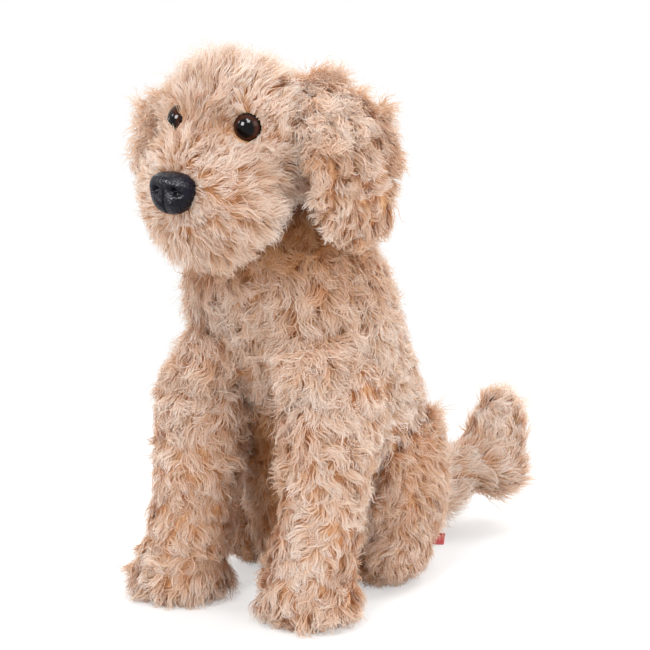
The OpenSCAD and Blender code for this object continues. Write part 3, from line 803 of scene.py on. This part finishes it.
def stripMesh(name, path, normal, tuft, tone, wide, roll):
    # Each strand is a strip: its edges lie half its width to either side of its path, across the path and
    # the skin's normal, and its width, wide (1 - s)^0.55 (0.8 + 0.35 s), falls to a point at the tip.
    n, rows = len(path), path.shape[1] - 1
    along = unit(np.gradient(path, axis=1))
    flat = unit(np.cross(along, normal[:, None]))
    face = np.cross(flat, along)
    flat = np.cos(roll)[:, None, None] * flat + np.sin(roll)[:, None, None] * face
    s = np.linspace(0, 1, rows + 1)
    half = 0.5 * wide[:, None, None] * ((1 - s) ** 0.55 * (0.8 + 0.35 * s))[None, :, None]
    left, right = path - half * flat, path + half * flat
    pairs = np.stack([left[:, :-1], right[:, :-1]], axis=2).reshape(n, -1, 3)
    points = np.concatenate([pairs, path[:, -1:]], axis=1)
    i = 2 * np.arange(rows - 1)[:, None]
    tip = [2 * rows - 2, 2 * rows - 1, 2 * rows]
    pattern = np.concatenate([(i + [0, 1, 3]).ravel(), (i + [0, 3, 2]).ravel(), tip])
    per = 2 * rows + 1
    corners = (np.arange(n)[:, None] * per + pattern).ravel().astype(np.int32)
    edge = np.tile([-1, 1], rows).tolist() + [0]
    u = tone[:, None] + 0.006 * np.array(edge)  # each strand is a narrow strip of the map
    v = np.concatenate([np.repeat(s[:-1], 2), [1]])
    uv = np.stack([u, np.broadcast_to(v, (n, per))], axis=-1).reshape(-1, 2)[corners]
    mesh = bpy.data.meshes.new(name)
    mesh.vertices.add(n * per)
    mesh.vertices.foreach_set("co", points.astype(np.float32).ravel())
    mesh.loops.add(len(corners))
    mesh.loops.foreach_set("vertex_index", corners)
    mesh.polygons.add(len(corners) // 3)
    mesh.polygons.foreach_set("loop_start", np.arange(0, len(corners), 3, dtype=np.int32))
    mesh.polygons.foreach_set("use_smooth", np.ones(len(corners) // 3, bool))
    mesh.uv_layers.new(name="OFBake").data.foreach_set("uv", uv.astype(np.float32).ravel())
    mesh.update(calc_edges=True)
    own = atStrand["tuftShare"]
    shade = unit(own * tuft[:, None] + (1 - own) * unit(face))
    shade = np.concatenate([np.repeat(shade[:, :-1], 2, axis=1), shade[:, -1:]], axis=1).reshape(-1, 3)
    mesh.normals_split_custom_set_from_vertices(shade.astype(np.float32))
    mesh.materials.append(pile)
    return addObject(name, mesh)


furSplit = {"chest": -24, "lean": 0.1, "height": 90, "face": -84}


def furPieces(part, skin, root):  # the piece that each strand is in
    if part == "torso":
        front = root[:, 1] < furSplit["chest"] - furSplit["lean"] * (root[:, 2] - furSplit["height"])
        group = np.where(front, "chest_fur", "back_fur")
        return np.char.add(group, np.where(root[:, 0] > 0, "_left", "_right"))
    if part == "head":
        return np.where(faceOn(root * mm)[:, 1] > furSplit["face"] * mm, "crown_fur", "face_fur")
    return np.full(len(root), skin.replace("_skin", "_fur"))


def growFur():
    total = 0
    for part, plan in furPlan.items():
        for i, skin in enumerate(plan["skins"]):
            made = strandPaths(plan, skin, plan["seed"] + i)
            group = furPieces(part, skin, made[0][:, 0] / mm)
            for name in np.unique(group):
                obj = stripMesh(str(name), *[a[group == name] for a in made])
                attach(obj, skinPlan[skin]["body"])
                total += len(obj.data.polygons)
                print("  ", name, (group == name).sum(), "strands,", len(obj.data.polygons), "triangles")
    print("pile grown:", total, "triangles")


growFur()


# Eyes: domed safety eyes

eyeLook = {"pupil": 0.6, "edge": 0.93, "around": 64, "stem": 2.25, "stemLength": 13.0, "sink": 1.6}


def eyeFinish():  # rings by distance from the middle, with streaks round the iris
    mat, tree, shader = material("eye_plastic")
    uv = newNode(tree, "UVMap", uv_map="pieceMap")
    far = newNode(tree, "VectorMath", operation="LENGTH")
    link(tree, uv.outputs["UV"], far.inputs[0])
    p, e = eyeLook["pupil"], eyeLook["edge"]
    rings = ramp(tree, far.outputs["Value"], [
        (0.0, linear(9, 7, 8)), (p - 0.03, linear(10, 7, 8)), (p + 0.02, linear(36, 19, 14)),
        (p + 0.16, linear(72, 38, 24)), (e - 0.04, linear(54, 28, 19)), (e, linear(24, 13, 10)),
        (1.0, linear(14, 9, 8))], False)
    streak = newNode(tree, "Mix", data_type="RGBA", blend_type="MULTIPLY")
    streak.inputs["Factor"].default_value = 0.6
    grain = noise(tree, 0.12, 3, 0.6, uv.outputs["UV"])
    link(tree, rings, streak.inputs["A"])
    link(tree, ramp(tree, grain, [(0.35, (0.45, 0.4, 0.38, 1)), (0.65, (1, 1, 1, 1))]), streak.inputs["B"])
    link(tree, streak.outputs["Result"], shader.inputs["Base Color"])
    setSockets(shader, {"Roughness": 0.5, "Specular IOR Level": 0.0, "Coat Weight": 0.85,
                        "Coat IOR": 1.28, "Coat Roughness": 0.02})
    return mat


def makeEyes():
    # Dome: part of a ball through the rim, (ball sin a, bulge - ball (1 - cos a)), then the rim, the back and
    # the stem, carried round the eye's axis
    r, b = eyeSize["radius"] / mm, eyeSize["bulge"] / mm
    ball = (r * r + b * b) / (2 * b)
    a = np.linspace(0, np.arcsin(r / ball), 22)
    dome = np.stack([ball * np.sin(a), b - ball * (1 - np.cos(a))], axis=1)
    s, w, end = eyeLook["sink"], eyeLook["stem"], -eyeLook["stemLength"]
    back = [(r, -0.3), (r - 0.15, -s + 0.3), (r - 0.5, -s), (w + 0.6, -s), (w, -s - 0.5),
            (w, end + 0.8), (w - 0.7, end), (0, end)]
    profile = np.concatenate([dome, back])
    t = np.linspace(0, 2 * np.pi, eyeLook["around"], endpoint=False)
    share = np.concatenate([dome[1:, 0] / r, np.full(len(back) - 1, 1.0)])
    uv = (share[:, None, None] * np.stack([np.cos(t), np.sin(t)], axis=-1)).reshape(-1, 2)
    uv = np.concatenate([uv, [[0, 0], [1, 0]]])  # and both poles
    finish = eyeFinish()
    for (spot, axis), node in zip(eyeSpots, ("eye_left", "eye_right")):
        points, faces = gridShape(*turnedRows(profile, spot, axis, eyeLook["around"]))
        eye = pieceFrom(node + "_dome", points, outward(points, faces), finish, uv)
        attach(eye, "head")
        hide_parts(node)


makeEyes()
print("eyes made")


# Nose: a moulded safety nose

def noseFinish():  # satin black, pebbled
    mat, tree, shader = material("nose_plastic")
    look = noseLook
    shades = ramp(tree, noise(tree, look["patch"] * mm, 3), [(0.3, look["low"]), (0.7, look["high"])])
    link(tree, shades, shader.inputs["Base Color"])
    pebble = newNode(tree, "TexVoronoi")
    pebble.inputs["Scale"].default_value = 1 / (look["pebble"] * mm)
    link(tree, newNode(tree, "TexCoord").outputs["Object"], pebble.inputs["Vector"])
    bump(tree, shader, pebble.outputs["Distance"], look["pebbleDepth"] * mm, 0.9)
    gloss = ramp(tree, noise(tree, 3 * mm, 2), [(0.3, (0.28, 0.28, 0.28, 1)), (0.7, (0.44, 0.44, 0.44, 1))])
    link(tree, gloss, shader.inputs["Roughness"])
    shader.inputs["Specular IOR Level"].default_value = 0.18
    return mat


def makeNose():
    # Blunt ball: along each direction from the middle, the radius at which |x/a|^k + |y/b|^k + |z/c|^k is 1,
    # wider towards the top; then nostrils, a groove and lobes are pressed into the front along +y.
    look = noseLook
    half, k = np.array(look["half"]), look["blunt"]

    def shape(a, t):
        d = np.stack([np.sin(a) * np.cos(t), -np.cos(a) + 0 * t, np.sin(a) * np.sin(t)], axis=-1)
        p = d * ((np.abs(d) / half) ** k).sum(axis=-1, keepdims=True) ** (-1 / k)
        p[..., 0] *= 1 + look["flare"] * p[..., 2] / half[2]
        x, y, z = np.abs(p[..., 0]), p[..., 1], p[..., 2]
        front = ease(-y, 0.5, 4.5)

        def blob(name):
            deep, cx, cz, rx, rz = look[name]
            return deep * np.exp(-((x - cx) / rx) ** 2 - ((z - cz) / rz) ** 2)

        deep, wide = look["groove"]
        press = blob("nostril") + blob("slit")
        press += deep * np.exp(-(x / wide) ** 2) * ease(z, 4.0, 0.5)
        press -= blob("ridge") + blob("lobe")
        p[..., 1] += front * press
        return (p + np.array(look["middle"])) * mm

    poles = [shape(np.array(a), np.array(0.0)) for a in (0.0, np.pi)]
    nose, faces = gridShape(shape(*polarGrid(look["rows"], look["around"])), *poles)
    w = look["stem"]
    run = look["stemFrom"] - look["stemTo"]
    profile = [(0, run), (w, run), (w, -0.6), (w - 0.6, 0), (0, 0)]
    foot = np.array([0, look["stemTo"], look["middle"][2]]) * mm
    stem, more = gridShape(*turnedRows(profile, foot, np.array([0.0, 1, 0]), 32))
    faces = outward(nose, faces) + [[i + len(nose) for i in f] for f in outward(stem, more)]
    obj = pieceFrom("nose_moulding", onHead(np.concatenate([nose, stem])), faces, noseFinish())
    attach(obj, "head")
    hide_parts("nose")


makeNose()
print("nose made")


# Plain ribbon tab in the haunch seam, folded in two

tab = {"place": (38, 25.36, 13), "heading": 33, "width": 10.4, "length": 9.2, "droop": 50,
       "fold": 0.45, "thick": 0.3, "back": 2.8, "ripple": 0.35, "rippleSize": 2.4, "steps": 16, "across": 12,
       # low and high: the ribbon's red, darker in the rib grooves as painted shade
       "low": linear(168, 24, 26), "high": linear(206, 44, 40), "ribs": 12, "ribDepth": 0.1}


def ribbonFinish():  # fine ribs across the ribbon
    mat, tree, shader = material("red_ribbon")
    uv = newNode(tree, "UVMap", uv_map="pieceMap")
    rib = newNode(tree, "TexWave", bands_direction="Y")
    rib.inputs["Scale"].default_value = tab["ribs"]
    link(tree, uv.outputs["UV"], rib.inputs["Vector"])
    # darker where the rib bump is low: painted shade in the grooves
    shades = ramp(tree, rib.outputs["Fac"], [(0.0, tab["low"]), (1.0, tab["high"])])
    link(tree, shades, shader.inputs["Base Color"])
    setSockets(shader, {"Roughness": 0.55, "Sheen Weight": 0.2})
    bump(tree, shader, rib.outputs["Fac"], tab["ribDepth"] * mm, 0.6)
    return mat


def makeTab():
    # A line that runs out, turns round a half circle and runs back, carried across the drooping width
    f, run, steps = tab["fold"], tab["length"], tab["steps"]
    turn = np.linspace(-np.pi / 2, np.pi / 2, 9)
    out = np.linspace(-tab["back"], run - f, steps)
    bend = np.stack([run - f + f * np.cos(turn), f * np.sin(turn)], 1)[1:-1]
    line = np.concatenate([np.stack([out, np.full(steps, -f)], 1), bend,
                           np.stack([out[::-1], np.full(steps, f)], 1)])
    up = np.linspace(-tab["width"] / 2, tab["width"] / 2, tab["across"])
    h = np.radians(tab["heading"])
    wave = tab["ripple"] * np.sin(up[None, :] / tab["rippleSize"]) * ease(line[:, :1], 2, 8)
    x = line[:, :1] + 0 * up
    y = line[:, 1:] + wave
    d = np.radians(tab["droop"])
    y, z = y * np.cos(d) - up * np.sin(d), y * np.sin(d) + up * np.cos(d)
    points = np.stack([x * np.cos(h) - y * np.sin(h), x * np.sin(h) + y * np.cos(h), z], axis=-1)
    points = points + np.array(tab["place"])
    rows, cols = points.shape[:2]
    i, j = np.meshgrid(np.arange(rows - 1) * cols, np.arange(cols - 1), indexing="ij")
    faces = np.stack([i + j, i + j + 1, i + cols + j + 1, i + cols + j], axis=-1).reshape(-1, 4)
    far = np.concatenate([[0], np.cumsum(np.linalg.norm(np.diff(line, axis=0), axis=1))])
    spread = np.broadcast_arrays(up[None, :] / tab["width"] + 0.5, far[:, None] / far[-1])
    uv = np.stack(spread, axis=-1).reshape(-1, 2)
    obj = pieceFrom("red_tab", points.reshape(-1, 3) * mm, faces.tolist(), ribbonFinish(), uv)
    thick = obj.modifiers.new("thick", "SOLIDIFY")
    thick.thickness, thick.offset = tab["thick"] * mm, 0
    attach(obj, "hind_leg_left")
    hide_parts("label_tab")


makeTab()
print("tab made")


# Seat panel and the pieces inside

seat = {"radius": 22.6, "thick": 3.0}


def makeSeat():  # round panel: a flat profile with a rolled edge, carried round the upright axis
    r, h = seat["radius"], seat["thick"]
    profile = [(0, 0.1), (r * 0.5, 0.1), (r - 2.4, 0.15), (r - 1, 0.4), (r - 0.2, 1.0), (r, h / 2),
               (r - 0.3, h - 0.6), (r - 1.4, h - 0.1), (r * 0.6, h), (0, h)]
    points, faces = gridShape(*turnedRows(profile, np.zeros(3), np.array([0.0, 0, 1]), 72))
    obj = pieceFrom("seat_disc", points, outward(points, faces), backing)
    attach(obj, "torso")
    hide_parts("seat_panel")


inside = {  # two shades of each finish, its grain and the depth of its bump in millimetres, and its nodes
    "pellet_cotton": {"low": linear(206, 199, 182), "high": linear(222, 216, 202), "grain": 0.6, "depth": 0.4,
                      "nodes": ["pellet_bag"]},
    "fibre_filling": {"low": linear(232, 230, 224), "high": linear(246, 245, 241), "grain": 1.5, "depth": 1.5,
                      "nodes": ["neck_stuffing"]},
    "washer_plastic": {"low": linear(222, 222, 217), "high": linear(236, 236, 232), "grain": 0.8,
                       "depth": 0.05, "nodes": ["eye_washer_left", "eye_washer_right", "nose_washer"]},
}


def mottledFinish(name, look):  # two close shades in patches eight grains wide, with a bump of the grain
    mat, tree, shader = material(name)
    size = look["grain"] * mm
    shades = ramp(tree, noise(tree, 8 * size, 4), [(0.3, look["low"]), (0.7, look["high"])])
    link(tree, shades, shader.inputs["Base Color"])
    shader.inputs["Roughness"].default_value = 0.9
    bump(tree, shader, noise(tree, size, 4), look["depth"] * mm)
    return mat


def dressInside():
    for name, look in inside.items():
        mat = mottledFinish(name, look)
        for node in look["nodes"]:
            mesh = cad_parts[node].data
            mesh.materials.clear()
            mesh.materials.append(mat)


makeSeat()
dressInside()
print("seat and inside dressed")
